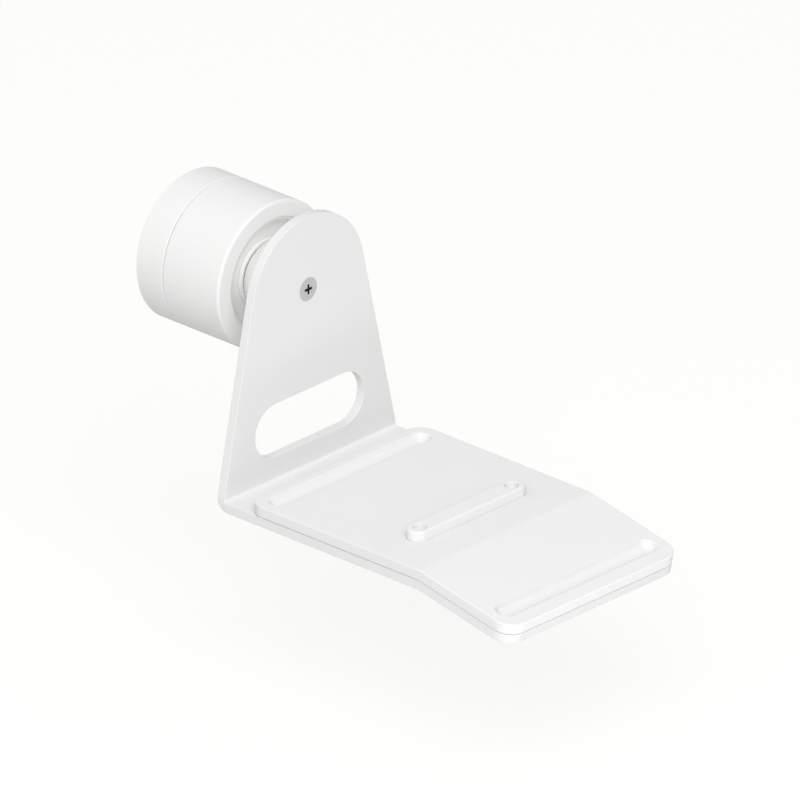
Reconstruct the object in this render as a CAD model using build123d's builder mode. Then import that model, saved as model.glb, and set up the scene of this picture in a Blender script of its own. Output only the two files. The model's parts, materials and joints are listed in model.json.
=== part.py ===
"""Wall bracket for a baby monitor camera.

A white drum screws to the wall. A magnet in the drum holds a half ball in a ring seat, and a bent
metal bracket hangs on the ball by one countersunk screw. The camera stands on the bracket's shelf,
on a soft pad with two grooves and a locating bar.

Frame: millimetres, +Z up, +X to the right of someone who faces the wall. The wall is the plane Y = 0,
the bracket reaches out along -Y, and the origin is where the drum's axis meets the wall.
"""
from build123d import *
from math import acos, atan2, cos, hypot, radians, sin, sqrt, tan
import os

# ---------------------------------------------------------------- driving dimensions
# The drum, measured as distances from the wall along its axis
drum_radius = 25.0
seam_distance = 11.6  # where the wall base ends and the front housing begins
drum_length = 35.8
seam_gap = 0.2
seam_chamfer = 0.3
rim_fillet = 0.9
floor_thickness = 4.0
gasket_thickness = 0.8
gasket_radius = 22.4
gasket_clearance = 0.1

# Twist lock between the wall base and the housing
base_wall = 3.0
housing_bore = 21.0
spigot_radius = 20.6
spigot_bore = 17.6
spigot_end = 18.8
lug_radius = 22.4
lug_start = 13.2
lug_end = 15.0
lug_half_angle = 10.0
lug_angles = (90.0, 210.0, 330.0)
unlock_angle = 25.0
slot_clearance = 0.2
slot_clearance_angle = 1.5
lock_screw_distance = 17.0
lock_screw_recess = 0.4
hex_socket_radius = 0.85
hex_socket_depth = 1.6

# Ball joint
ball_radius = 15.4
ball_centre = 44.5
mouth_radius = 19.25
lip_thickness = 2.5
running_gap = 0.05
seat_clearance = 0.2
grip_section = 1.2  # radius of the groove that holds the grip ring
grip_angle = 40.0  # from the drum's axis to the line where the ball rests on the grip ring
cup_radius = 12.5
cup_face = 28.9
cup_floor = 2.6
magnet_radius = 9.5
sleeve_radius = 10.5
retainer_back = 19.3
retainer_front = 21.3
collar_radius = 14.0
collar_height = 2.0
boss_circle = 17.8
boss_radius = 3.4
boss_end = 27.8
boss_angles = (30.0, 150.0, 270.0)
boss_skin = 1.0  # what is left in front of a boss's blind hole
nose_setback = 0.5  # from the drum's front face to the swivel ring's
seat_bore = 13.0
seat_step = 29.4
seat_edge = 9.6
dish_lip = (0.4, 0.5)  # radius and distance from the grip ring's groove to the dish
dish_middle = (16.2, 33.2)
dish_shoulder = 0.6
washer_thickness = 0.5
washer_radius = 11.0
ball_edge = 0.3
ball_hole_depth = 11.0

# Bracket sheet
plate_front = 51.3  # distance from the wall to the front face of the upright plate
sheet = 3.2
plate_top_radius = 25.4
half_width = 39.3
shelf_top = -60.8  # height of the shelf's top face
bend_radius = 1.2  # inside radius of the right-angle bend
shelf_bend = 135.7  # distance from the wall to the shallow bend
shelf_drop_angle = 11.6
shallow_bend_radius = 9.0
shelf_tip = 40.0  # length of the shelf past the shallow bend
front_corner_radius = 6.6
shoulder_radius = 8.0
slot_height = -43.6
slot_half_pitch = 15.7
slot_radius = 9.1

# Pad and locating bar on the shelf
pad_back = 61.4
pad_thickness = 3.8
tape_thickness = 0.25
pad_corner_radius = 6.0
groove_width = 7.0
groove_depth = 2.3
groove_half_length = 35.5
rear_groove = 68.6
front_groove = 31.2  # along the dropped part of the shelf, from the shallow bend
bar_distance = 119.0
bar_length = 50.6
bar_width = 7.3
bar_rise = 3.3  # above the pad
bar_window_gap = 0.15
peg_pitch = 41.7
peg_hole_radius = 2.35
peg_hole_depth = 2.6
insert_radius = 2.1
insert_length = 3.4
insert_hole_extra = 0.1
tape_inset = 0.8
bar_edge = 0.5

# Fasteners: shank radius, head radius
pivot_shank, pivot_head = 1.98, 3.98  # M4 countersunk
small_shank, small_head = 1.2, 2.35  # M2.5 countersunk
bar_shank, bar_head = 1.45, 2.95  # M3 countersunk
pivot_length, pivot_recess = 13.5, 1.4
small_length, small_recess = 7.0, 0.8
bar_recess = 1.1
bar_end_gap = 0.2  # from the end of a bar screw to the end of its insert
thread_gap = 0.02
pivot_shank_gap = 0.07
pivot_head_gap = 0.12
wall_screw_pitch = 24.0
wall_screw_hole = 2.25

# How far a cut or a joined block runs past the face that it crosses
cut_overrun = 1.0
root_overlap = 0.5
# Two lengths closer than this count as equal when an edge or a corner is looked up
near = 0.01

# ---------------------------------------------------------------- planes and small helpers
# The section plane's first axis is the radius, its second is the distance from the wall.
section = Plane(origin=(0, 0, 0), x_dir=(1, 0, 0), z_dir=(0, 0, -1))
# The side plane's first axis is the distance from the wall, its second is the height.
side = Plane(origin=(0, 0, 0), x_dir=(0, -1, 0), z_dir=(-1, 0, 0))


def from_wall(distance):
    """The plane parallel to the wall at this distance, looking away from the wall."""
    return Plane.XZ.offset(distance)


def section_at(angle):
    """The section plane turned about the drum's axis, anticlockwise as seen from the front."""
    c, s = cos(radians(angle)), sin(radians(angle))
    return Plane(origin=(0, 0, 0), x_dir=(c, 0, s), z_dir=(s, 0, -c))


def ring(inner, outer, start, end):
    """A plain ring or disc about the drum's axis, between two distances from the wall."""
    with BuildSketch(from_wall(start)) as profile:
        Circle(outer)
        if inner:
            Circle(inner, mode=Mode.SUBTRACT)
    extrude(profile.sketch, amount=end - start)


def arc_block(inner, outer, start, end, angle, sweep, mode=Mode.ADD):
    """A block bent round the drum's axis: it runs clockwise from angle, as seen from the front."""
    with BuildSketch(section_at(angle)) as profile:
        with Locations(((inner + outer) / 2, (start + end) / 2)):
            Rectangle(outer - inner, end - start)
    revolve(profile.sketch, axis=Axis.Y, revolution_arc=sweep, mode=mode)


def on_circle(radius, angles):
    """Points on a circle in a plane parallel to the wall."""
    return [(radius * cos(radians(a)), radius * sin(radians(a))) for a in angles]


def shelf_corner(height):
    """The shallow bend's corner at a height above the shelf's top face, as (distance, z)."""
    turn = radians(shelf_drop_angle)
    return (shelf_bend + height * tan(turn / 2), shelf_top + height)


def shelf_point(along, height):
    """A point on the dropped part of the shelf, along it from the bend and above its top face."""
    turn = radians(shelf_drop_angle)
    distance = shelf_bend + along * cos(turn) + height * sin(turn)
    return (distance, shelf_top - along * sin(turn) + height * cos(turn))


def layer_profile(start, low, high):
    """The side view of a layer that follows the shelf, from a distance out to the shelf's end."""
    with BuildLine() as outline:
        FilletPolyline(
            (start, shelf_top + high),
            shelf_corner(high),
            shelf_point(shelf_tip, high),
            radius=shallow_bend_radius + high,
        )
        FilletPolyline(
            (start, shelf_top + low),
            shelf_corner(low),
            shelf_point(shelf_tip, low),
            radius=shallow_bend_radius + low,
        )
        Line((start, shelf_top + low), (start, shelf_top + high))
        Line(shelf_point(shelf_tip, low), shelf_point(shelf_tip, high))
    make_face(outline.edges())


def pad_outline(inset=0):
    """Trim a layer to the pad's plan: rounded at the back corners and, like the shelf, in front."""
    front = shelf_point(shelf_tip, 0)[0]
    tip_height = shelf_point(shelf_tip, -cut_overrun)[1]
    with BuildSketch(Plane.XY.offset(tip_height)) as plan:
        with Locations((0, -(pad_back + front) / 2)):
            Rectangle(2 * (half_width - inset), front - pad_back - 2 * inset)
        corners = plan.vertices().sort_by(Axis.Y)
        fillet(corners[:2], front_corner_radius)
        corners = plan.vertices().sort_by(Axis.Y)
        fillet(corners[-2:], pad_corner_radius)
    height = shelf_top + pad_thickness + cut_overrun - tip_height
    extrude(plan.sketch, amount=height, mode=Mode.INTERSECT)


def bar_slot(gap, low, high, mode=Mode.SUBTRACT):
    """The locating bar's stadium shape, between two heights above the shelf's top face."""
    with BuildSketch(Plane.XY.offset(shelf_top + low)) as plan:
        with Locations((0, -bar_distance)):
            SlotOverall(bar_length + 2 * gap, bar_width + 2 * gap)
    extrude(plan.sketch, amount=high - low, mode=mode)


def countersunk_screw(plane, shank, head, length):
    """Add a countersunk screw: its flat head lies on the plane and its shank runs behind the plane."""
    with BuildSketch(plane) as head_face:
        Circle(head)
    extrude(head_face.sketch, amount=-(head - shank), taper=45)
    with BuildSketch(plane) as shank_face:
        Circle(shank)
    extrude(shank_face.sketch, amount=-length)


def cross_recess(plane, head, depth):
    """Cut a cross recess in a screw's head."""
    arm, width = head * 0.82, head * 0.19
    with BuildSketch(plane) as cross:
        Rectangle(arm, width)
        Rectangle(width, arm)
    extrude(cross.sketch, amount=-depth, mode=Mode.SUBTRACT)


def countersink_cut(plane, shank, head, depth):
    """Cut a countersunk hole whose wide end lies on the plane."""
    with BuildSketch(plane) as head_face:
        Circle(head)
    extrude(head_face.sketch, amount=-(head - shank), taper=45, mode=Mode.SUBTRACT)
    with BuildSketch(plane) as shank_face:
        Circle(shank)
    extrude(shank_face.sketch, amount=-depth, mode=Mode.SUBTRACT)


# ---------------------------------------------------------------- wall base
with BuildPart() as wall_base:
    with BuildSketch(section):
        with BuildLine():
            Polyline(
                (0, gasket_thickness),
                (gasket_radius + gasket_clearance, gasket_thickness),
                (gasket_radius + gasket_clearance, 0),
                (drum_radius, 0),
                (drum_radius, seam_distance - seam_gap),
                (drum_radius - base_wall, seam_distance - seam_gap),
                (drum_radius - base_wall, floor_thickness),
                (spigot_radius, floor_thickness),
                (spigot_radius, spigot_end),
                (spigot_bore, spigot_end),
                (spigot_bore, floor_thickness),
                (0, floor_thickness),
                close=True,
            )
        make_face()
    revolve(axis=Axis.Y)
    outer_edges = wall_base.edges().filter_by(GeomType.CIRCLE).filter_by(
        lambda e: abs(e.radius - drum_radius) < near
    )
    chamfer(outer_edges, seam_chamfer)
    for angle in lug_angles:
        arc_block(
            spigot_radius - root_overlap,
            lug_radius,
            lug_start,
            lug_end,
            angle + lug_half_angle,
            2 * lug_half_angle,
        )
    with BuildSketch(from_wall(0)):
        with GridLocations(wall_screw_pitch, 0, 2, 1):
            Circle(wall_screw_hole)
    extrude(amount=floor_thickness, mode=Mode.SUBTRACT)
wall_base.part.label = "wall_base"

with BuildPart() as wall_gasket:
    with BuildSketch(from_wall(0)):
        Circle(gasket_radius)
        with GridLocations(wall_screw_pitch, 0, 2, 1):
            Circle(wall_screw_hole, mode=Mode.SUBTRACT)
    extrude(amount=gasket_thickness)
wall_gasket.part.label = "wall_gasket"

# ---------------------------------------------------------------- front housing and what it holds
with BuildPart() as front_housing:
    ring(housing_bore, drum_radius, seam_distance, drum_length)
    front_rim = front_housing.edges().filter_by(GeomType.CIRCLE).sort_by(Axis.Y)
    fillet([e for e in front_rim if e.radius > drum_radius - near][0], rim_fillet)
    seam_rim = front_housing.edges().filter_by(GeomType.CIRCLE).sort_by(Axis.Y)
    chamfer([e for e in seam_rim if e.radius > drum_radius - near][-1], seam_chamfer)
    ring(mouth_radius, housing_bore + root_overlap, drum_length - lip_thickness, drum_length)
    mouth_edge = front_housing.edges().filter_by(GeomType.CIRCLE).sort_by(Axis.Y)
    chamfer([e for e in mouth_edge if abs(e.radius - mouth_radius) < near][0], seam_chamfer)
    for x, z in on_circle(boss_circle, boss_angles):
        with BuildSketch(from_wall(retainer_front)):
            with Locations((x, z)):
                Circle(boss_radius)
        extrude(amount=boss_end - retainer_front)
    with BuildSketch(from_wall(retainer_front)):
        with Locations(*on_circle(boss_circle, boss_angles)):
            Circle(small_shank + thread_gap)
    extrude(amount=boss_end - retainer_front - boss_skin, mode=Mode.SUBTRACT)
    track = lug_half_angle + slot_clearance_angle
    for angle in lug_angles:
        arc_block(
            housing_bore - root_overlap,
            lug_radius + slot_clearance,
            lug_start - slot_clearance,
            lug_end + slot_clearance,
            angle + track,
            unlock_angle + 2 * track,
            mode=Mode.SUBTRACT,
        )
        arc_block(
            housing_bore - root_overlap,
            lug_radius + slot_clearance,
            seam_distance - cut_overrun,
            lug_start,
            angle - unlock_angle + track,
            2 * track,
            mode=Mode.SUBTRACT,
        )
    with BuildSketch(Plane.XY.offset(-drum_radius - cut_overrun)):
        with Locations((0, -lock_screw_distance)):
            Circle(bar_shank + thread_gap)
    extrude(amount=drum_radius + cut_overrun - spigot_radius, mode=Mode.SUBTRACT)
front_housing.part.label = "front_housing"

lock_screw_face = Plane.XY.offset(lock_screw_recess - drum_radius)
with BuildPart() as lock_screw:
    with BuildSketch(lock_screw_face):
        with Locations((0, -lock_screw_distance)):
            Circle(bar_shank)
    extrude(amount=drum_radius - lock_screw_recess - spigot_radius - running_gap)
    with BuildSketch(lock_screw_face):
        with Locations((0, -lock_screw_distance)):
            RegularPolygon(hex_socket_radius, 6)
    extrude(amount=hex_socket_depth, mode=Mode.SUBTRACT)
lock_screw.part.label = "lock_screw"

with BuildPart() as retaining_plate:
    ring(0, housing_bore - running_gap, retainer_back, retainer_front)
    ring(cup_radius + running_gap, collar_radius, retainer_front, retainer_front + collar_height)
    for x, z in on_circle(boss_circle, boss_angles):
        screw_seat = Plane(origin=(x, -retainer_back, z), x_dir=(1, 0, 0), z_dir=(0, 1, 0))
        countersink_cut(
            screw_seat,
            small_shank + thread_gap,
            small_head + thread_gap,
            retainer_front - retainer_back,
        )
retaining_plate.part.label = "retaining_plate"

with BuildPart() as retainer_screws:
    for x, z in on_circle(boss_circle, boss_angles):
        screw_seat = Plane(origin=(x, -retainer_back, z), x_dir=(1, 0, 0), z_dir=(0, 1, 0))
        countersunk_screw(screw_seat, small_shank, small_head, small_length)
        cross_recess(screw_seat, small_head, small_recess)
retainer_screws.part.label = "retainer_screws"

with BuildPart() as magnet_cup:
    ring(0, cup_radius, retainer_front, cup_face)
    with BuildSketch(from_wall(retainer_front + cup_floor)):
        Circle(sleeve_radius)
    extrude(amount=cup_face - retainer_front - cup_floor, mode=Mode.SUBTRACT)
magnet_cup.part.label = "magnet_cup"

with BuildPart() as magnet_sleeve:
    ring(magnet_radius, sleeve_radius, retainer_front + cup_floor, cup_face)
magnet_sleeve.part.label = "magnet_sleeve"

with BuildPart() as magnet:
    ring(0, magnet_radius, retainer_front + cup_floor, cup_face)
magnet.part.label = "magnet"

# ---------------------------------------------------------------- seat: swivel ring and grip ring
grip_path = ball_radius + grip_section  # distance of the grip ring's middle from the ball's centre
grip_circle = grip_path * sin(radians(grip_angle))
grip_distance = ball_centre - grip_path * cos(radians(grip_angle))
lip_back = drum_length - lip_thickness
flange_back = boss_end + seat_clearance
flange_radius = housing_bore - seat_clearance
nose_end = drum_length - nose_setback
dish_start = (grip_circle + grip_section + dish_lip[0], grip_distance + dish_lip[1])
dish_end = (mouth_radius - dish_shoulder, nose_end)

with BuildPart() as swivel_ring:
    with BuildSketch(section):
        with BuildLine():
            Polyline(
                dish_end,
                (mouth_radius - running_gap, nose_end),
                (mouth_radius - running_gap, lip_back - running_gap),
                (flange_radius, lip_back - running_gap),
                (flange_radius, flange_back),
                (seat_bore, flange_back),
                (seat_bore, seat_step),
                (seat_edge, seat_step),
                (seat_edge, grip_distance - seat_clearance),
                dish_start,
            )
            ThreePointArc(dish_start, dish_middle, dish_end)
        make_face()
        with Locations((grip_circle, grip_distance)):
            Circle(grip_section, mode=Mode.SUBTRACT)
    revolve(axis=Axis.Y)
swivel_ring.part.label = "swivel_ring"

with BuildPart() as grip_ring:
    with BuildSketch(section):
        with Locations((grip_circle, grip_distance)):
            Circle(grip_section - running_gap)
    revolve(axis=Axis.Y)
grip_ring.part.label = "grip_ring"

# ---------------------------------------------------------------- ball, washer and pivot screw
plate_back = plate_front - sheet
ball_flat = plate_back - washer_thickness
flat_radius = sqrt(ball_radius**2 - (ball_flat - ball_centre) ** 2)

with BuildPart() as ball:
    with BuildSketch(section):
        with BuildLine():
            ThreePointArc(
                (0, ball_centre - ball_radius),
                (ball_radius, ball_centre),
                (flat_radius, ball_flat),
            )
            Polyline((flat_radius, ball_flat), (0, ball_flat), (0, ball_centre - ball_radius))
        make_face()
    revolve(axis=Axis.Y)
    rim = ball.edges().filter_by(GeomType.CIRCLE).sort_by(Axis.Y)[0]
    chamfer(rim, ball_edge)
    with BuildSketch(from_wall(ball_flat)):
        Circle(pivot_shank + thread_gap)
    extrude(amount=-ball_hole_depth, mode=Mode.SUBTRACT)
ball.part.label = "ball"

with BuildPart() as friction_washer:
    ring(pivot_shank + seat_clearance, washer_radius, ball_flat, plate_back)
friction_washer.part.label = "friction_washer"

pivot_face = from_wall(plate_front - running_gap)
with BuildPart() as pivot_screw:
    countersunk_screw(pivot_face, pivot_shank, pivot_head, pivot_length)
    cross_recess(pivot_face, pivot_head, pivot_recess)
pivot_screw.part.label = "pivot_screw"

# ---------------------------------------------------------------- bracket
# The straight sides of the upright plate are tangents from the shelf's corners to the round top.
side_reach = hypot(half_width, shelf_top)
tangent_angle = atan2(shelf_top, half_width) + acos(plate_top_radius / side_reach)
tangent_x = plate_top_radius * cos(tangent_angle)
tangent_z = plate_top_radius * sin(tangent_angle)
shelf_front = shelf_point(shelf_tip, 0)[0]
outline_foot = shelf_point(shelf_tip, -sheet)[1] - cut_overrun
bar_holes = [(-peg_pitch / 2, -bar_distance), (peg_pitch / 2, -bar_distance)]

with BuildPart() as bracket:
    with BuildSketch(side):
        with BuildLine():
            FilletPolyline(
                (plate_front, plate_top_radius),
                (plate_front, shelf_top),
                shelf_corner(0),
                shelf_point(shelf_tip, 0),
                radius=[bend_radius, shallow_bend_radius],
            )
            FilletPolyline(
                (plate_back, plate_top_radius),
                (plate_back, shelf_top - sheet),
                shelf_corner(-sheet),
                shelf_point(shelf_tip, -sheet),
                radius=[bend_radius + sheet, shallow_bend_radius - sheet],
            )
            Line((plate_front, plate_top_radius), (plate_back, plate_top_radius))
            Line(shelf_point(shelf_tip, 0), shelf_point(shelf_tip, -sheet))
        make_face()
    extrude(amount=half_width, both=True)
    with BuildSketch(from_wall(0)) as outline:
        with BuildLine():
            ThreePointArc((-tangent_x, tangent_z), (0, plate_top_radius), (tangent_x, tangent_z))
            Polyline(
                (tangent_x, tangent_z),
                (half_width, shelf_top),
                (half_width, outline_foot),
                (-half_width, outline_foot),
                (-half_width, shelf_top),
                (-tangent_x, tangent_z),
            )
        make_face()
        shoulders = outline.vertices().filter_by(lambda v: abs(v.Z - shelf_top) < near)
        fillet(shoulders, shoulder_radius)
    extrude(amount=shelf_front + cut_overrun, mode=Mode.INTERSECT)
    front_edges = bracket.edges().filter_by(lambda e: e.center().Y < cut_overrun - shelf_front)
    front_corners = front_edges.filter_by(lambda e: abs(e.center().X) > half_width - near)
    fillet(front_corners, front_corner_radius)
    with BuildSketch(from_wall(plate_back - cut_overrun)):
        with Locations((0, slot_height)):
            SlotCenterToCenter(2 * slot_half_pitch, 2 * slot_radius)
    extrude(amount=sheet + 2 * cut_overrun, mode=Mode.SUBTRACT)
    countersink_cut(
        from_wall(plate_front),
        pivot_shank + pivot_shank_gap,
        pivot_head + pivot_head_gap,
        sheet + cut_overrun,
    )
    for x, y in bar_holes:
        under = Plane(origin=(x, y, shelf_top - sheet), x_dir=(1, 0, 0), z_dir=(0, 0, -1))
        countersink_cut(under, bar_shank + thread_gap, bar_head + thread_gap, sheet + cut_overrun)
bracket.part.label = "bracket"

# ---------------------------------------------------------------- pad, tape, locating bar
with BuildPart() as pad_tape:
    with BuildSketch(side):
        layer_profile(pad_back, 0, tape_thickness)
    extrude(amount=half_width, both=True)
    pad_outline(inset=tape_inset)
    bar_slot(bar_window_gap, -cut_overrun, tape_thickness + cut_overrun)
pad_tape.part.label = "pad_tape"

groove_radius = ((groove_width / 2) ** 2 + groove_depth**2) / (2 * groove_depth)
groove_reach = groove_half_length - groove_width / 2

with BuildPart() as shelf_pad:
    with BuildSketch(side):
        layer_profile(pad_back, tape_thickness, pad_thickness)
    extrude(amount=half_width, both=True)
    pad_outline()
    lift = groove_radius - groove_depth
    rear_middle = (rear_groove, shelf_top + pad_thickness + lift)
    front_middle = shelf_point(front_groove, pad_thickness + lift)
    for distance, z in (rear_middle, front_middle):
        with Locations(Location((0, -distance, z), (0, 90, 0))):
            Cylinder(groove_radius, 2 * groove_reach, mode=Mode.SUBTRACT)
        with Locations((-groove_reach, -distance, z), (groove_reach, -distance, z)):
            Sphere(groove_radius, mode=Mode.SUBTRACT)
    bar_slot(bar_window_gap, -cut_overrun, pad_thickness + cut_overrun)
shelf_pad.part.label = "shelf_pad"

with BuildPart() as locating_bar:
    bar_slot(0, 0, pad_thickness + bar_rise, mode=Mode.ADD)
    fillet(locating_bar.faces().sort_by(Axis.Z)[-1].edges(), bar_edge)
    with BuildSketch(Plane.XY.offset(shelf_top + pad_thickness + bar_rise)):
        with Locations(*bar_holes):
            Circle(peg_hole_radius)
    extrude(amount=-peg_hole_depth, mode=Mode.SUBTRACT)
    with BuildSketch(Plane.XY.offset(shelf_top)):
        with Locations(*bar_holes):
            Circle(insert_radius + thread_gap)
    extrude(amount=insert_length + insert_hole_extra, mode=Mode.SUBTRACT)
locating_bar.part.label = "locating_bar"

with BuildPart() as bar_inserts:
    with BuildSketch(Plane.XY.offset(shelf_top)):
        with Locations(*bar_holes):
            Circle(insert_radius)
            Circle(bar_shank + thread_gap, mode=Mode.SUBTRACT)
    extrude(amount=insert_length)
bar_inserts.part.label = "bar_inserts"

with BuildPart() as bar_screws:
    for x, y in bar_holes:
        under = Plane(origin=(x, y, shelf_top - sheet), x_dir=(1, 0, 0), z_dir=(0, 0, -1))
        countersunk_screw(under, bar_shank, bar_head, sheet + insert_length - bar_end_gap)
        cross_recess(under, bar_head, bar_recess)
bar_screws.part.label = "bar_screws"

# ---------------------------------------------------------------- export
os.makedirs("parts", exist_ok=True)
pieces = (
    wall_base,
    wall_gasket,
    front_housing,
    lock_screw,
    retaining_plate,
    retainer_screws,
    magnet_cup,
    magnet_sleeve,
    magnet,
    swivel_ring,
    grip_ring,
    ball,
    friction_washer,
    pivot_screw,
    bracket,
    shelf_pad,
    pad_tape,
    locating_bar,
    bar_inserts,
    bar_screws,
)
for piece in pieces:
    export_step(piece.part, f"parts/{piece.part.label}.step")
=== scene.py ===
# %% [markdown]
# # A wall bracket for a nursery camera
#
# The object is a white drum that screws to a wall, a half ball that a magnet holds in the drum's mouth, and a
# bent metal sheet that hangs on the ball by one screw. The camera stands on the sheet's shelf, on a soft pad.
#
# The CAD model already holds every size, joint and mount. This file loads it as a fixed frame and gives it its
# looks. A part whose CAD shape is right keeps it and gets a finish. A part that needs soft edges, moulded
# grooves or a thread is made again here, in the same place and at the same size.

# %% Load the frame
import json
from math import acos, atan2, cos, hypot, pi, radians, sin, sqrt, tan

import bmesh
import bpy
from mathutils import Matrix, Quaternion, Vector


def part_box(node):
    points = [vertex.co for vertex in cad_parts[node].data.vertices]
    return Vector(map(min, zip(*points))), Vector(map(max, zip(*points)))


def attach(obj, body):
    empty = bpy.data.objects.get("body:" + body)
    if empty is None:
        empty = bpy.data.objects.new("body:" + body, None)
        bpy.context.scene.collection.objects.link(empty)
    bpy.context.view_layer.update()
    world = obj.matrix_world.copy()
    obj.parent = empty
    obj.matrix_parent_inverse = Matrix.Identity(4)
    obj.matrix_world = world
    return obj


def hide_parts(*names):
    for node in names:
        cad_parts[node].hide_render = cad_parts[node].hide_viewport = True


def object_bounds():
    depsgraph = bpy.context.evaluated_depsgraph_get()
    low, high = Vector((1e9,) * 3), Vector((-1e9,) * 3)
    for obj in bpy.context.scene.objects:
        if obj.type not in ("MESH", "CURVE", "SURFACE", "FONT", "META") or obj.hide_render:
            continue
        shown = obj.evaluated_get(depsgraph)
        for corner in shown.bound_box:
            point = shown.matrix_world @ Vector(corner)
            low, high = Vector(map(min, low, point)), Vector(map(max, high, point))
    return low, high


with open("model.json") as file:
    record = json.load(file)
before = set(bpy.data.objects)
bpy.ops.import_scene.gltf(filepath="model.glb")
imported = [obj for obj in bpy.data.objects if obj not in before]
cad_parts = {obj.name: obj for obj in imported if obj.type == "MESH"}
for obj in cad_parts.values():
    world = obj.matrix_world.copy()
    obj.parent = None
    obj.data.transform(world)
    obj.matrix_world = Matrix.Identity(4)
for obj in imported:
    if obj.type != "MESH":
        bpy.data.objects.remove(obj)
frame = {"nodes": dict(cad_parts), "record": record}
cad_box = [list(corner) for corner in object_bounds()]
nodes = frame["nodes"]
mounts = {mount["name"]: mount for mount in frame["record"]["mounts"]}
MM = 0.001
print("CAD box in mm:", [[round(v / MM, 1) for v in corner] for corner in cad_box])

# %% [markdown]
# ## Camera, floor and light
#
# A small white product is shown best with no perspective, so the camera is orthographic: the parallel edges of
# the shelf stay parallel. A perspective camera from far away would look nearly the same. It is rolled by half a
# degree. The light is one broad soft source high on the left of the front, and a plain white world. The floor
# is pale to the eye but gives little light back, so that the undersides keep their shade and the round shapes
# read. That would leave the shelf's thin front edges grey, so a small card low in front lights them. It lights
# the plate's front too, and the sheet's darker front colour paints shade back there.

# %% Camera
view_azimuth = radians(-46.1)
view_elevation = radians(25.2)
view_roll = radians(-0.53)
view_width = 251.7 * MM
view_shift = Vector((-4.8, -7.95, 0.55)) * MM
box_low, box_high = (Vector(corner) for corner in cad_box)
view_target = (box_low + box_high) / 2 + view_shift
towards_camera = Vector(
    (
        sin(view_azimuth) * cos(view_elevation),
        -cos(view_azimuth) * cos(view_elevation),
        sin(view_elevation),
    )
)
camera_data = bpy.data.cameras.new("camera")
camera_data.type = "ORTHO"
camera_data.ortho_scale = view_width
camera_data.clip_start = 0.01
camera_data.clip_end = 20.0
camera = bpy.data.objects.new("camera", camera_data)
camera.location = view_target + towards_camera
camera.rotation_mode = "QUATERNION"
level_look = (-towards_camera).to_track_quat("-Z", "Y")
camera.rotation_quaternion = level_look @ Quaternion((0, 0, 1), view_roll)
scene = bpy.context.scene
scene.collection.objects.link(camera)
scene.camera = camera
scene.view_settings.view_transform = "Standard"
print("the camera looks at", [round(v / MM, 1) for v in view_target], "mm")


# %% A helper for node trees
def maths(tree, operation, *values):
    """Add a Math node whose inputs are numbers or other nodes' outputs, and give its output."""
    node = tree.nodes.new("ShaderNodeMath")
    node.operation = operation
    for socket, value in zip(node.inputs, values):
        if isinstance(value, bpy.types.NodeSocket):
            tree.links.new(value, socket)
        else:
            socket.default_value = value
    return node.outputs[0]


# %% Floor
floor_drop = 60 * MM
floor_size = 6.0
floor_glow = 0.81  # what the camera sees of the floor's own light
given_back = (0.66, 0.66, 0.655, 1.0)  # the floor's colour as the object sees it
seen_colour = (0.2, 0.2, 0.2, 1.0)  # the part of it that takes shadows, as the camera sees it
floor_bm = bmesh.new()
bmesh.ops.create_grid(floor_bm, x_segments=1, y_segments=1, size=floor_size)
bmesh.ops.translate(floor_bm, verts=floor_bm.verts, vec=(0, 0, box_low.z - floor_drop))
floor_mesh = bpy.data.meshes.new("floor")
floor_bm.to_mesh(floor_mesh)
floor_bm.free()
floor = bpy.data.objects.new("floor", floor_mesh)
scene.collection.objects.link(floor)

floor_finish = bpy.data.materials.new("pale_floor")
floor_finish.use_nodes = True
tree = floor_finish.node_tree
surface = tree.nodes["Principled BSDF"]
surface.inputs["Roughness"].default_value = 1.0
surface.inputs["Specular IOR Level"].default_value = 0.0
surface.inputs["Emission Color"].default_value = (1.0, 0.995, 0.985, 1.0)
light_path = tree.nodes.new("ShaderNodeLightPath")
shade = tree.nodes.new("ShaderNodeMix")
shade.data_type = "RGBA"
shade.inputs["A"].default_value = given_back
shade.inputs["B"].default_value = seen_colour
tree.links.new(light_path.outputs["Is Camera Ray"], shade.inputs["Factor"])
tree.links.new(shade.outputs["Result"], surface.inputs["Base Color"])
lift = maths(tree, "MULTIPLY", light_path.outputs["Is Camera Ray"], floor_glow)
tree.links.new(lift, surface.inputs["Emission Strength"])
see_through = tree.nodes.new("ShaderNodeBsdfTransparent")
sides = tree.nodes.new("ShaderNodeMixShader")
facing = tree.nodes.new("ShaderNodeNewGeometry")
tree.links.new(facing.outputs["Backfacing"], sides.inputs[0])
tree.links.new(surface.outputs["BSDF"], sides.inputs[1])
tree.links.new(see_through.outputs["BSDF"], sides.inputs[2])
tree.links.new(sides.outputs["Shader"], tree.nodes["Material Output"].inputs["Surface"])
floor_mesh.materials.append(floor_finish)
print("the floor lies", round(floor_drop / MM), "mm below the bracket")

# %% Light
world_level = 0.62
world = bpy.data.worlds.new("white_world")
scene.world = world
world.use_nodes = True
sky = world.node_tree.nodes["Background"]
sky.inputs["Color"].default_value = (1.0, 1.0, 1.0, 1.0)
sky.inputs["Strength"].default_value = world_level


def soft_light(name, target, towards, distance, width, height, level):
    """An area light that the camera doesn't see. level is the brightness it gives a white card at its target."""
    data = bpy.data.lights.new(name, "AREA")
    data.shape = "RECTANGLE"
    data.size = width
    data.size_y = height
    data.energy = level * pi**2 * distance**2
    light = bpy.data.objects.new(name, data)
    away = Vector(towards).normalized()
    light.location = target + away * distance
    light.rotation_mode = "QUATERNION"
    light.rotation_quaternion = (-away).to_track_quat("-Z", "Y")
    light.visible_camera = False
    scene.collection.objects.link(light)
    print(name, "energy", round(data.energy, 1), "W")


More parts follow.
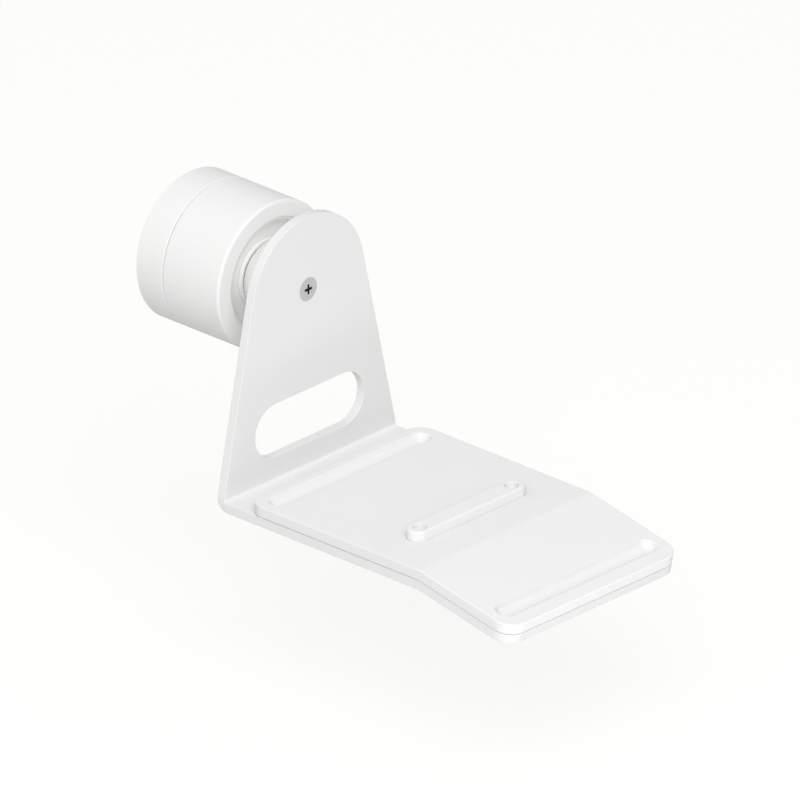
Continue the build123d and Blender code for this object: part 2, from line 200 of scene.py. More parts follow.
soft_light(
    "key_light",
    target=view_target,
    towards=(-0.53, -0.53, 0.66),
    distance=2.0,
    width=1.4,
    height=1.4,
    level=0.68,
)
shelf_front = Vector((0, box_low.y, box_low.z))
soft_light(
    "low_card",
    target=shelf_front,
    towards=(-0.2, -0.92, -0.3),
    distance=0.17,
    width=0.14,
    height=0.016,
    level=0.27,
)

# %% [markdown]
# ## Effects that several finishes share
#
# Every surface of a real product has small effects: a fine grain from the mould, the powder coat or the
# cutter, and soft patches where hands have polished it. A third effect darkens the colour where ambient
# occlusion finds creases and corners: a little dust, and painted shade. Each effect could be drawn again in
# each material. As a node group it's made once, and each material sets its own values.


# %% A helper that starts a shader group
def effect_group(name, inputs, outputs):
    """Start a shader node group, with its input and output sockets named."""
    tree = bpy.data.node_groups.new(name, "ShaderNodeTree")
    for label, value in inputs.items():
        socket = tree.interface.new_socket(label, in_out="INPUT", socket_type="NodeSocketFloat")
        socket.default_value = value
    for label in outputs:
        tree.interface.new_socket(label, in_out="OUTPUT", socket_type="NodeSocketFloat")
    return tree, tree.nodes.new("NodeGroupInput"), tree.nodes.new("NodeGroupOutput")


def noise(tree, size, detail=2.0, roughness=0.5):
    """A noise texture on Object coordinates. size is how far apart its lumps are, in metres."""
    place = tree.nodes.new("ShaderNodeTexCoord")
    texture = tree.nodes.new("ShaderNodeTexNoise")
    texture.inputs["Detail"].default_value = detail
    texture.inputs["Roughness"].default_value = roughness
    tree.links.new(place.outputs["Object"], texture.inputs["Vector"])
    tree.links.new(maths(tree, "DIVIDE", 1.0, size), texture.inputs["Scale"])
    return texture.outputs["Fac"]


# %% Grain, handling, and crease darkening (dust and painted shade)
grain_tree, given, result = effect_group(
    "surface_grain", {"Grain size": 0.4 * MM, "Wave share": 0.5}, ["Height"]
)
fine = noise(grain_tree, given.outputs["Grain size"], detail=3.0)
wave_size = maths(grain_tree, "MULTIPLY", given.outputs["Grain size"], 6.0)
wave = maths(grain_tree, "MULTIPLY", noise(grain_tree, wave_size), given.outputs["Wave share"])
grain_tree.links.new(maths(grain_tree, "ADD", fine, wave), result.inputs["Height"])

handling_tree, given, result = effect_group(
    "handling", {"Roughness": 0.4, "Change": 0.06, "Patch size": 14 * MM}, ["Roughness", "Patches"]
)
patches = noise(handling_tree, given.outputs["Patch size"], detail=4.0, roughness=0.6)
swing = maths(handling_tree, "MULTIPLY", maths(handling_tree, "SUBTRACT", patches, 0.5), 2.0)
change = maths(handling_tree, "MULTIPLY", swing, given.outputs["Change"])
new_roughness = maths(handling_tree, "ADD", given.outputs["Roughness"], change)
handling_tree.links.new(new_roughness, result.inputs["Roughness"])
handling_tree.links.new(patches, result.inputs["Patches"])

# ambient occlusion darkens the colour in creases and corners: part dust, part painted shade
dust_and_shade_tree, given, result = effect_group("crease_dust_and_shade", {"Reach": 1.2 * MM, "Amount": 0.3}, ["Mask"])
shelter = dust_and_shade_tree.nodes.new("ShaderNodeAmbientOcclusion")
shelter.samples = 6
dust_and_shade_tree.links.new(given.outputs["Reach"], shelter.inputs["Distance"])
closed_in = maths(dust_and_shade_tree, "SUBTRACT", 1.0, shelter.outputs["AO"])
speck_size = maths(dust_and_shade_tree, "MULTIPLY", given.outputs["Reach"], 0.5)
speckle = maths(dust_and_shade_tree, "ADD", noise(dust_and_shade_tree, speck_size), 0.5)
dust_and_shade_mask = maths(dust_and_shade_tree, "MULTIPLY", maths(dust_and_shade_tree, "MULTIPLY", closed_in, speckle), given.outputs["Amount"])
dust_and_shade_tree.links.new(dust_and_shade_mask, result.inputs["Mask"])
print("shader groups:", [tree.name for tree in (grain_tree, handling_tree, dust_and_shade_tree)])

# %% [markdown]
# ## Finishes
#
# The drum is a moulded plastic with a fine satin. The sheet is steel under a white powder coat, which dries
# with slow waves like orange peel. The pad is silicone: matt, soft and a little greyer. One function makes all
# of them, because they differ only in colour, gloss, grain and crease darkening. The metals use it too. The
# crease darkening is part dust, part painted shade. The drum and the sheet also take a second colour on the
# flat faces that look away from the wall: painted light on the drum's front face, which the plate shades, and
# painted shade on the sheet's front faces, which the low card lights too much. The pad's crease darkening
# reaches far: painted shade all along the corner under the plate.


# %% One function for every finish
# faces past this limit take the front colour: painted light on the drum, painted shade on the sheet
looks_out_limit = -0.97  # a face whose normal has a lower Y than this looks away from the wall


def add_group(tree, group, values):
    """Place a shader group in a material and set its inputs."""
    node = tree.nodes.new("ShaderNodeGroup")
    node.node_tree = group
    for label, value in values.items():
        node.inputs[label].default_value = value
    return node


def tint(tree, factor, first, second):
    """Mix two colours. Either may be a plain colour or another node's output."""
    node = tree.nodes.new("ShaderNodeMix")
    node.data_type = "RGBA"
    tree.links.new(factor, node.inputs["Factor"])
    for label, colour in (("A", first), ("B", second)):
        if isinstance(colour, bpy.types.NodeSocket):
            tree.links.new(colour, node.inputs[label])
        else:
            node.inputs[label].default_value = (*colour, 1.0)
    return node.outputs["Result"]


def finish(
    name,
    colour,
    roughness,
    grain,
    depth,
    wave=0.5,
    dust_and_shade_amount=0.25,
    reach=1.2 * MM,
    change=0.05,
    shade=0.97,
    painted_front_shading=None,
    **shader,
):
    """A finish with grain, polished patches, and crease darkening that is part dust, part painted shade. The
    front colour paints light and shade on the flat faces that look away from the wall, and shader sets the
    Principled BSDF's own sockets."""
    material = bpy.data.materials.new(name)
    material.use_nodes = True
    tree = material.node_tree
    surface = tree.nodes["Principled BSDF"]
    for label, value in shader.items():
        surface.inputs[label.replace("_", " ")].default_value = value
    grained = add_group(tree, grain_tree, {"Grain size": grain, "Wave share": wave})
    handled = add_group(tree, handling_tree, {"Roughness": roughness, "Change": change})
    # crease darkening from ambient occlusion: part dust, part painted shade
    dust_and_shade = add_group(tree, dust_and_shade_tree, {"Amount": dust_and_shade_amount, "Reach": reach})
    darker = [channel * shade for channel in colour]
    dust_and_shade_colour = [channel * 0.45 + 0.06 for channel in colour]
    patched = tint(tree, handled.outputs["Patches"], colour, darker)
    # painted light and shade: a second colour on the flat faces that look away from the wall
    if painted_front_shading:
        sides_of = tree.nodes.new("ShaderNodeSeparateXYZ")
        tree.links.new(tree.nodes.new("ShaderNodeTexCoord").outputs["Normal"], sides_of.inputs[0])
        painted_front_mask = maths(tree, "LESS_THAN", sides_of.outputs["Y"], looks_out_limit)
        patched = tint(tree, painted_front_mask, patched, painted_front_shading)
    tree.links.new(tint(tree, dust_and_shade.outputs["Mask"], patched, dust_and_shade_colour), surface.inputs["Base Color"])
    tree.links.new(handled.outputs["Roughness"], surface.inputs["Roughness"])
    bump = tree.nodes.new("ShaderNodeBump")
    bump.inputs["Distance"].default_value = depth
    tree.links.new(grained.outputs["Height"], bump.inputs["Height"])
    tree.links.new(bump.outputs["Normal"], surface.inputs["Normal"])
    return material


# %% The finishes of this object
# each line gives a name, a colour, a roughness, the size of the grain and its depth
# the sheet's darker front colour is painted shade, where the low card lights the plate too much
powder_coat = finish(
    "powder_coat_white", (0.83, 0.83, 0.826), 0.42, 0.35 * MM, 0.006 * MM, wave=1.2, painted_front_shading=(0.78, 0.78, 0.777)
)
# the drum's lighter front colour is painted light on the front face that the plate shades
housing_plastic = finish(
    "housing_white", (0.87, 0.87, 0.865), 0.5, 0.25 * MM, 0.004 * MM, painted_front_shading=(0.9, 0.9, 0.895)
)
seat_plastic = finish("seat_white", (0.95, 0.95, 0.945), 0.45, 0.25 * MM, 0.004 * MM)
ball_enamel = finish("ball_white", (0.94, 0.94, 0.935), 0.22, 1.2 * MM, 0.004 * MM, Coat_Weight=0.3)
silicone = finish(
    # the pad's crease darkening reaches 14 mm: painted shade along the corner under the plate and beside the bar
    "pad_silicone", (0.84, 0.84, 0.837), 0.62, 0.3 * MM, 0.01 * MM, wave=0.2, dust_and_shade_amount=0.35, reach=14 * MM
)
bar_plastic = finish("bar_white", (0.85, 0.85, 0.847), 0.6, 0.3 * MM, 0.006 * MM, dust_and_shade_amount=0.1)
grip_rubber = finish("grip_white", (0.92, 0.92, 0.915), 0.6, 0.3 * MM, 0.012 * MM)
gasket_foam = finish("gasket_grey", (0.30, 0.30, 0.31), 0.9, 0.6 * MM, 0.12 * MM, wave=0.3, dust_and_shade_amount=0.1)
nylon = finish("nylon_natural", (0.78, 0.76, 0.70), 0.45, 0.5 * MM, 0.006 * MM)
tape = finish("tape_grey", (0.42, 0.42, 0.43), 0.8, 0.4 * MM, 0.03 * MM)
screw_steel = finish("screw_steel", (0.64, 0.64, 0.635), 0.45, 0.12 * MM, 0.006 * MM, Metallic=0.55, dust_and_shade_amount=0.1)
screw_dark = finish("screw_dark", (0.05, 0.05, 0.055), 0.42, 0.15 * MM, 0.006 * MM, Metallic=0.7)
# near-black painted shade for the deep cross recess of each screw
recess_painted_shade = finish("recess_painted_shade", (0.012, 0.012, 0.013), 0.6, 0.2 * MM, 0.01 * MM)
nickel = finish("magnet_nickel", (0.72, 0.70, 0.66), 0.16, 0.8 * MM, 0.003 * MM, Metallic=1.0)
cup_zinc = finish("cup_steel", (0.60, 0.61, 0.62), 0.38, 0.5 * MM, 0.006 * MM, Metallic=1.0)
brass = finish("insert_brass", (0.78, 0.60, 0.30), 0.28, 0.2 * MM, 0.005 * MM, Metallic=1.0)
print("finishes made:", len([m for m in bpy.data.materials if m is not floor_finish]))

# %% Finish the CAD parts that keep their own shape
kept_finishes = {
    "wall_base": housing_plastic,
    "front_housing": housing_plastic,
    "wall_gasket": gasket_foam,
    "lock_screw": screw_dark,
    "retaining_plate": nylon,
    "magnet_cup": cup_zinc,
    "magnet_sleeve": nylon,
    "magnet": nickel,
    "swivel_ring": seat_plastic,
    "grip_ring": grip_rubber,
    "ball": ball_enamel,
    "friction_washer": nylon,
    "pad_tape": tape,
}
for node_name, material in kept_finishes.items():
    for material_slot in nodes[node_name].material_slots:
        material_slot.material = material
print("kept CAD parts:", ", ".join(kept_finishes))

# %% [markdown]
# ## Solids from stacked outlines
#
# The sheet, the pad and the bar are all flat shapes with some thickness, rounded rims, and holes or pockets.
# They could be cubes with booleans and bevels, but a bevel after a boolean often tears. Instead each outline is
# drawn again at every height, a little smaller where the rim is round, and the drawings are joined
# into walls. The rims then come out exactly round, and holes work the same way as outer edges.


# %% Outlines that can shrink
def rounded(corners):
    """The arcs that round a polygon's corners. Corners are (x, y, radius), anticlockwise."""
    arcs = []
    for i, (x, y, radius) in enumerate(corners):
        here = Vector((x, y))
        arrive = (here - Vector(corners[i - 1][:2])).normalized()
        leave = (Vector(corners[(i + 1) % len(corners)][:2]) - here).normalized()
        turn = atan2(arrive.x * leave.y - arrive.y * leave.x, arrive.dot(leave))
        outward = Vector((arrive.y, -arrive.x))
        outward_next = Vector((leave.y, -leave.x))
        signed = radius if turn > 0 else -radius
        centre = here - (outward + outward_next) * (signed / (1 + outward.dot(outward_next)))
        arcs.append((centre, signed, atan2(outward.y, outward.x), turn))
    return arcs


def outline(arcs, steps=10):
    """A closed outline made of arcs, as a function: it gives the points for an inset."""

    def points(inset):
        found = []
        for centre, radius, start, turn in arcs:
            for step in range(steps + 1):
                angle = start + turn * step / steps
                reach = radius - inset
                found.append((centre[0] + reach * cos(angle), centre[1] + reach * sin(angle)))
        return found

    return points


def round_hole(x, y, radius, steps=40):
    """A circle's outline."""
    return outline([((x, y), radius, 0, 2 * pi * steps / (steps + 1))], steps)


def long_hole(x, y, half_pitch, radius, steps=16):
    """A stadium's outline: two half circles, half_pitch to each side of the middle."""
    right, left = (x + half_pitch, y), (x - half_pitch, y)
    return outline([(right, radius, -pi / 2, pi), (left, radius, pi / 2, pi)], steps)


# %% Rims and walls
HOLD = 0.12 * MM  # a flat margin beside each rim, which keeps the shading of the flat face even


def round_rim(radius, height, side, steps=5, way=1):
    """A rim's (inset, height) points, from the flat face outwards. side is 1 for a top face, -1 for a bottom."""
    rim = [(way * (radius + HOLD), height)]
    for step in range(steps + 1):
        angle = pi / 2 * step / steps
        rim.append((way * radius * (1 - sin(angle)), height - side * radius * (1 - cos(angle))))
    return rim


def wall(low, high, low_round, high_round, way=1):
    """A wall with round rims, from the bottom face to the top face. way is -1 for a hole."""
    return round_rim(low_round, low, -1, way=way) + round_rim(high_round, high, 1, way=way)[::-1]


def pocket(face, floor_height, rim_round, floor_round=0.2 * MM):
    """A blind hole's wall, from the face that it starts in to its floor."""
    side = 1 if face > floor_height else -1
    rim = round_rim(rim_round, face, side, way=-1)
    corner = round_rim(floor_round, floor_height, -side, steps=3)
    return rim + corner[::-1]


# %% Build a solid
def solid(name, walls, top_pockets=(), bottom_pockets=()):
    """A closed bmesh from walls that join the bottom face to the top face, and pockets in either face."""
    bm = bmesh.new()
    marked = bm.faces.layers.int.new("pocket")

    def stack(shape, profile):
        loops = [[bm.verts.new((x, y, height)) for x, y in shape(inset)] for inset, height in profile]
        for lower, upper in zip(loops, loops[1:]):
            for i in range(len(lower)):
                bm.faces.new((lower[i - 1], lower[i], upper[i], upper[i - 1]))
        return loops

    def border(loop):
        return [bm.edges.get((loop[i - 1], loop[i])) for i in range(len(loop))]

    bottom, top = [], []
    for shape, profile in walls:
        loops = stack(shape, profile)
        bottom += border(loops[0])
        top += border(loops[-1])
    for pockets, face_border in ((top_pockets, top), (bottom_pockets, bottom)):
        for shape, profile in pockets:
            before = len(bm.faces)
            loops = stack(shape, profile)
            face_border += border(loops[0])
            bm.faces.new(loops[-1])
            bm.faces.ensure_lookup_table()
            for face in bm.faces[before:]:
                face[marked] = 1
    for face_border in (bottom, top):
        bmesh.ops.triangle_fill(bm, edges=face_border, use_beauty=True)
    bmesh.ops.recalc_face_normals(bm, faces=bm.faces)
    for face in bm.faces:
        face.smooth = True
    print(name, "outline solid:", len(bm.faces), "faces")
    return bm


def as_piece(name, bm, material):
    """Turn a bmesh into an object that sits at the origin."""
    mesh = bpy.data.meshes.new(name)
    bm.to_mesh(mesh)
    bm.free()
    mesh.materials.append(material)
    piece = bpy.data.objects.new(name, mesh)
    scene.collection.objects.link(piece)
    return piece


def even_shading(piece, sharp_angle=40):
    """Keep sharp corners sharp and let the large flat faces rule the shading beside them."""
    piece.data.set_sharp_from_angle(angle=radians(sharp_angle))
    weights = piece.modifiers.new("even_shading", "WEIGHTED_NORMAL")
    weights.keep_sharp = True


# %% [markdown]
# ## The fold rule
#
# The real sheet is cut flat and folded twice: up by a right angle at the wall, and down by a few degrees near
# the front. So the model is also made flat and folded. A bend with two bones would pinch the corner, and
# a lattice would stretch it. The rule here is the one a press brake follows: past the fold's start, each
# point turns about the fold's axis, and what lies further on goes straight. The pad follows the same rule,
# because it's glued on the sheet. It's a Geometry Nodes tree, so both pieces share it.

# %% Sizes of the sheet and its folds
low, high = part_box("bracket")
pad_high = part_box("shelf_pad")[1]
bar_low, bar_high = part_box("locating_bar")

sheet_thickness = 3.2 * MM
plate_back = -high.y
plate_front = plate_back + sheet_thickness
half_width = high.x
plate_top_radius = high.z
shelf_top = bar_low.z
fold_radius = 1.2 * MM
drop_corner = 135.7 * MM
drop_angle = radians(11.6)
drop_radius = 9.0 * MM
shelf_tip = 40.0 * MM

fold_start = plate_front + fold_radius
upright_start = fold_start - fold_radius * pi / 2
corner_reach = drop_radius * tan(drop_angle / 2)
drop_start = drop_corner - corner_reach
drop_end = drop_start + drop_radius * drop_angle
flat_end = drop_end + shelf_tip - corner_reach


def flat_from_height(z):
    """Where a point of the upright plate lies on the flat sheet, as a distance from the wall."""
    return upright_start - (z - shelf_top - fold_radius)


print("the flat sheet is", round((flat_end - flat_from_height(plate_top_radius)) / MM, 1), "mm long")


# %% The fold as Geometry Nodes
def tree_inputs(tree, inputs):
    """Give a node tree its named inputs: (name, kind, default)."""
    for label, kind, value in inputs:
        socket = tree.interface.new_socket(label, in_out="INPUT", socket_type="NodeSocket" + kind)
        if value is not None:
            socket.default_value = value


def bend_rule(tree, along, height, start, radius, angle, way):
    """The nodes of one fold: along and height become their folded values. way is 1 for up, -1 for down."""
    past = maths(tree, "MAXIMUM", maths(tree, "SUBTRACT", along, start), 0.0)
    turned = maths(tree, "MINIMUM", maths(tree, "DIVIDE", past, radius), angle)
    straight = maths(tree, "SUBTRACT", past, maths(tree, "MULTIPLY", turned, radius))
    arm = maths(tree, "SUBTRACT", radius, maths(tree, "MULTIPLY", height, way))
    sine, cosine = maths(tree, "SINE", turned), maths(tree, "COSINE", turned)
    forward = maths(tree, "ADD", maths(tree, "MULTIPLY", arm, sine), maths(tree, "MULTIPLY", straight, cosine))
    new_along = maths(tree, "ADD", maths(tree, "MINIMUM", along, start), forward)
    drop = maths(tree, "SUBTRACT", radius, maths(tree, "MULTIPLY", arm, cosine))
    rise = maths(tree, "ADD", drop, maths(tree, "MULTIPLY", straight, sine))
    return new_along, maths(tree, "MULTIPLY", rise, way)


fold_tree = bpy.data.node_groups.new("fold_the_sheet", "GeometryNodeTree")
tree_inputs(
    fold_tree,
    [
        ("Geometry", "Geometry", None),
        ("Shelf height", "Float", shelf_top),
        ("Upright start", "Float", fold_start),
        ("Upright radius", "Float", fold_radius),
        ("Upright angle", "Float", pi / 2),
        ("Drop start", "Float", drop_start),
        ("Drop radius", "Float", drop_radius),
        ("Drop angle", "Float", drop_angle),
        ("Finish", "Material", None),
    ],
)
fold_tree.interface.new_socket("Geometry", in_out="OUTPUT", socket_type="NodeSocketGeometry")
given = fold_tree.nodes.new("NodeGroupInput")
position = fold_tree.nodes.new("GeometryNodeInputPosition")
parts_of = fold_tree.nodes.new("ShaderNodeSeparateXYZ")
fold_tree.links.new(position.outputs[0], parts_of.inputs[0])
along = maths(fold_tree, "MULTIPLY", parts_of.outputs["Y"], -1.0)
height = maths(fold_tree, "SUBTRACT", parts_of.outputs["Z"], given.outputs["Shelf height"])
along, height = bend_rule(
    fold_tree,
    along,
    height,
    given.outputs["Drop start"],
    given.outputs["Drop radius"],
    given.outputs["Drop angle"],
    -1.0,
)
backward, height = bend_rule(
    fold_tree,
    maths(fold_tree, "MULTIPLY", along, -1.0),
    height,
    maths(fold_tree, "MULTIPLY", given.outputs["Upright start"], -1.0),
    given.outputs["Upright radius"],
    given.outputs["Upright angle"],
    1.0,
)
folded = fold_tree.nodes.new("ShaderNodeCombineXYZ")
fold_tree.links.new(parts_of.outputs["X"], folded.inputs["X"])
fold_tree.links.new(backward, folded.inputs["Y"])
fold_tree.links.new(maths(fold_tree, "ADD", height, given.outputs["Shelf height"]), folded.inputs["Z"])


def end_tree(tree, geometry, given, last_step=None):
    """End a tree: real geometry in place of instances, then its finish."""
    realize = tree.nodes.new("GeometryNodeRealizeInstances")
    paint = tree.nodes.new("GeometryNodeSetMaterial")
    result = tree.nodes.new("NodeGroupOutput")
    tree.links.new(geometry, realize.inputs["Geometry"])
    tree.links.new(realize.outputs["Geometry"], paint.inputs["Geometry"])
    tree.links.new(given.outputs["Finish"], paint.inputs["Material"])
    painted = paint.outputs["Geometry"]
    if last_step:
        painted = last_step(tree, painted, given)
    tree.links.new(painted, result.inputs["Geometry"])


move = fold_tree.nodes.new("GeometryNodeSetPosition")
fold_tree.links.new(given.outputs["Geometry"], move.inputs["Geometry"])
fold_tree.links.new(folded.outputs["Vector"], move.inputs["Position"])
end_tree(fold_tree, move.outputs["Geometry"], given)
print("fold tree:", len(fold_tree.nodes), "nodes")


# %% Run a tree and cut a sheet where it folds
upright_cuts, drop_cuts = 12, 8


def run_tree(piece, tree, inputs):
    """Run a Geometry Nodes tree on a piece, keep the result as its plain mesh, and remove the modifier."""
    modifier = piece.modifiers.new(tree.name, "NODES")
    modifier.node_group = tree
    for item in tree.interface.items_tree:
        if item.in_out == "INPUT" and item.name in inputs:
            modifier[item.identifier] = inputs[item.name]
    shown = piece.evaluated_get(bpy.context.evaluated_depsgraph_get())
    mesh = bpy.data.meshes.new_from_object(shown)
    mesh.name = piece.name
    piece.modifiers.remove(modifier)
    piece.data = mesh
    print(piece.name, "after", tree.name + ":", len(mesh.vertices), "vertices")


def cut_for_fold(bm, start, end, steps):
    """Cut the flat solid across at every step of a fold, and once just outside each end of it."""
    places = [start + (end - start) * step / steps for step in range(steps + 1)]
    margin = 2 * HOLD
    for place in [min(start, end) - margin, *places, max(start, end) + margin]:
        everything = bm.verts[:] + bm.edges[:] + bm.faces[:]
        bmesh.ops.bisect_plane(bm, geom=everything, dist=1e-7, plane_co=(0, -place, 0), plane_no=(0, 1, 0))


# %% [markdown]
# ## The bracket
#
# It's one piece of 3.2 mm steel. Seen from the front, the upright plate has a round top and straight sides that
# touch the round, so its flat outline is a polygon with five rounded corners: the round top is just the
# corner with the largest radius. A long slot lets the camera's cable through, a countersunk hole takes
# the pivot screw, and two countersunk holes under the shelf take the bar's screws. The coat rounds all edges.

# %% Bracket
sheet_round = 0.25 * MM  # at the back of the plate and under the shelf
face_round = 0.15 * MM  # at the front of the plate and on the shelf
shoulder_radius = 8.0 * MM
front_corner_radius = 6.6 * MM
sheet_top, sheet_bottom = shelf_top, shelf_top - sheet_thickness
side_lean = atan2(shelf_top, half_width) + acos(plate_top_radius / hypot(half_width, shelf_top))
peak = -flat_from_height(plate_top_radius / sin(side_lean))
shoulder = -flat_from_height(shelf_top)
sheet_outline = rounded(
    [
        (half_width, -flat_end, front_corner_radius),
        (half_width, shoulder, shoulder_radius),
        (0, peak, plate_top_radius),
        (-half_width, shoulder, shoulder_radius),
        (-half_width, -flat_end, front_corner_radius),
    ]
)

slot_height = -43.6 * MM
slot_half_pitch = 15.7 * MM
slot_radius = 9.1 * MM
pivot_low, pivot_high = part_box("pivot_screw")
pivot_head = pivot_high.x
pivot_shank = 1.98 * MM
pivot_gap = 0.12 * MM
bar_screw_head = 2.95 * MM
bar_screw_shank = 1.45 * MM
peg_pitch = mounts["camera_pegs"]["dims"]["spacing_x_mm"] * MM
bar_distance = -(bar_low.y + bar_high.y) / 2


def countersunk(head, shank, face, back, rim=0.08 * MM):
    """The profile of a countersunk hole, from the narrow side's face to the wide side's face."""
    side = 1 if face > back else -1
    cone_end = face - side * (head - shank)
    return [
        (-rim - HOLD, back),
        (-rim, back),
        (0, back + side * rim),
        (0, cone_end),
        (shank - head, face),
        (shank - head - HOLD, face),
    ]


pivot_flat = -flat_from_height(0)
pegs = [(-peg_pitch / 2, -bar_distance), (peg_pitch / 2, -bar_distance)]
bracket_walls = [
    (outline(sheet_outline, 20), wall(sheet_bottom, sheet_top, sheet_round, face_round)),
    (
        long_hole(0, -flat_from_height(slot_height), slot_half_pitch, slot_radius),
        wall(sheet_bottom, sheet_top, sheet_round, face_round, way=-1),
    ),
    (
        round_hole(0, pivot_flat, pivot_shank + pivot_gap),
        countersunk(pivot_head + pivot_gap, pivot_shank + pivot_gap, sheet_top, sheet_bottom),
    ),
]
for x, y in pegs:
    hole_profile = countersunk(bar_screw_head, bar_screw_shank, sheet_bottom, sheet_top)
    bracket_walls.append((round_hole(x, y, bar_screw_shank), hole_profile[::-1]))
bracket_bm = solid("bracket", bracket_walls)
cut_for_fold(bracket_bm, upright_start, fold_start, upright_cuts)
cut_for_fold(bracket_bm, drop_start, drop_end, drop_cuts)
coated_bracket = as_piece("coated_bracket", bracket_bm, powder_coat)
run_tree(coated_bracket, fold_tree, {"Finish": powder_coat})
even_shading(coated_bracket)
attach(coated_bracket, "bracket")
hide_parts("bracket")

# %% [markdown]
# ## The shelf pad
#
# The pad is a silicone mat, 3.5 mm thick, that keeps the camera from sliding. It has two rounded grooves for
# ridges under the camera, and a window for the locating bar. The grooves are pockets in the stacked outlines:
# each is a stadium that gets narrower with depth, as a ball-nosed cutter leaves it in the mould. Their rims
# get a small exact round, because silicone can't leave a mould with a sharp edge.

# %% Groove shape
pad_thickness = 3.8 * MM  # with its tape
tape_thickness = 0.25 * MM
pad_top = shelf_top + pad_thickness
pad_bottom = shelf_top + tape_thickness
pad_back = -pad_high.y
groove_half_width = 3.5 * MM
groove_depth = 2.3 * MM
groove_half_length = 35.5 * MM
groove_radius = (groove_half_width**2 + groove_depth**2) / (2 * groove_depth)
rear_groove = 68.6 * MM
front_groove = drop_end + 31.2 * MM - corner_reach


def groove_profile(rim_round=0.5 * MM, steps=9, floor_half_width=0.25 * MM):
    """A groove's (inset, height) points: a round rim, then the cutter's arc down to the floor."""
    lift = groove_radius - groove_depth
    reach = sqrt((groove_radius + rim_round) ** 2 - (lift + rim_round) ** 2)
    lean = atan2(lift + rim_round, reach)
    section = [(reach + HOLD, 0.0)]
    for step in range(6):
        angle = pi / 2 + (pi / 2 - lean) * step / 5
        section.append((reach + rim_round * cos(angle), rim_round * (sin(angle) - 1)))
    floor_angle = acos(floor_half_width / groove_radius)
    for step in range(1, steps + 1):
        angle = lean + (floor_angle - lean) * step / steps
        section.append((groove_radius * cos(angle), lift - groove_radius * sin(angle)))
    return [(groove_half_width - width, pad_top + depth) for width, depth in section]


# %% Pad
pad_back_radius = 6.0 * MM
window_gap = 0.06 * MM
pad_foot_round, pad_rim_round = 0.05 * MM, 0.35 * MM
window_foot_round, window_rim_round = 0.03 * MM, 0.12 * MM
bar_half_width = (bar_high.y - bar_low.y) / 2
bar_half_pitch = bar_high.x - bar_half_width
pad_outline = rounded(
    [
        (half_width, -flat_end, front_corner_radius),
        (half_width, -pad_back, pad_back_radius),
        (-half_width, -pad_back, pad_back_radius),
        (-half_width, -flat_end, front_corner_radius),
    ]
)
pad_bm = solid(
    "pad",
    [
        (outline(pad_outline, 16), wall(pad_bottom, pad_top, pad_foot_round, pad_rim_round)),
        (
            long_hole(0, -bar_distance, bar_half_pitch, bar_half_width + window_gap),
            wall(pad_bottom, pad_top, window_foot_round, window_rim_round, way=-1),
        ),
    ],
    top_pockets=[
        (
            long_hole(0, -along_sheet, groove_half_length - groove_half_width, groove_half_width),
            groove_profile(),
        )
        for along_sheet in (rear_groove, front_groove)
    ],
)
cut_for_fold(pad_bm, drop_start, drop_end, drop_cuts)
moulded_pad = as_piece("moulded_pad", pad_bm, silicone)
run_tree(moulded_pad, fold_tree, {"Finish": silicone})
even_shading(moulded_pad)
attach(moulded_pad, "bracket")
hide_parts("shelf_pad")

# %% [markdown]
# ## The locating bar
#
# The bar stands up through the pad's window. Two screws from below hold it, and two blind holes in its top take
# the pegs under a camera. It's the same kind of solid, so the same function makes it, with pockets above and
# below.

# %% Locating bar
peg_radius = mounts["camera_pegs"]["dims"]["hole_r_mm"] * MM
peg_depth = 2.6 * MM
insert_radius = 2.1 * MM
insert_length = 3.4 * MM
insert_slack = 0.1 * MM
bar_foot_round, bar_rim_round = 0.15 * MM, 0.6 * MM
peg_rim_round, insert_rim_round = 0.2 * MM, 0.05 * MM
bar_bm = solid(
    "bar",
    [
        (
            long_hole(0, -bar_distance, bar_half_pitch, bar_half_width, steps=24),
            wall(bar_low.z, bar_high.z, bar_foot_round, bar_rim_round),
        )
    ],
    top_pockets=[
        (round_hole(x, y, peg_radius), pocket(bar_high.z, bar_high.z - peg_depth, peg_rim_round))
        for x, y in pegs
    ],
    bottom_pockets=[
        (
            round_hole(x, y, insert_radius),
            pocket(bar_low.z, bar_low.z + insert_length + insert_slack, insert_rim_round),
        )
        for x, y in pegs
    ],
)
moulded_bar = as_piece("moulded_bar", bar_bm, bar_plastic)
even_shading(moulded_bar)
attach(moulded_bar, "bracket")
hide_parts("locating_bar")

# %% [markdown]
# ## Screws
#
# Three sizes of the same screw hold the object: countersunk, with a cross recess. A screw's blank is a stack of
# circles with the cross as a tapered pocket in its head. Its thread is a ridge that follows a helix, and the
# same screw repeats round a circle. Both are jobs for Geometry Nodes: one tree lays the thread on the blank and
# sets out the copies. A bump-mapped thread would be lighter, but it wouldn't be there in the mesh.


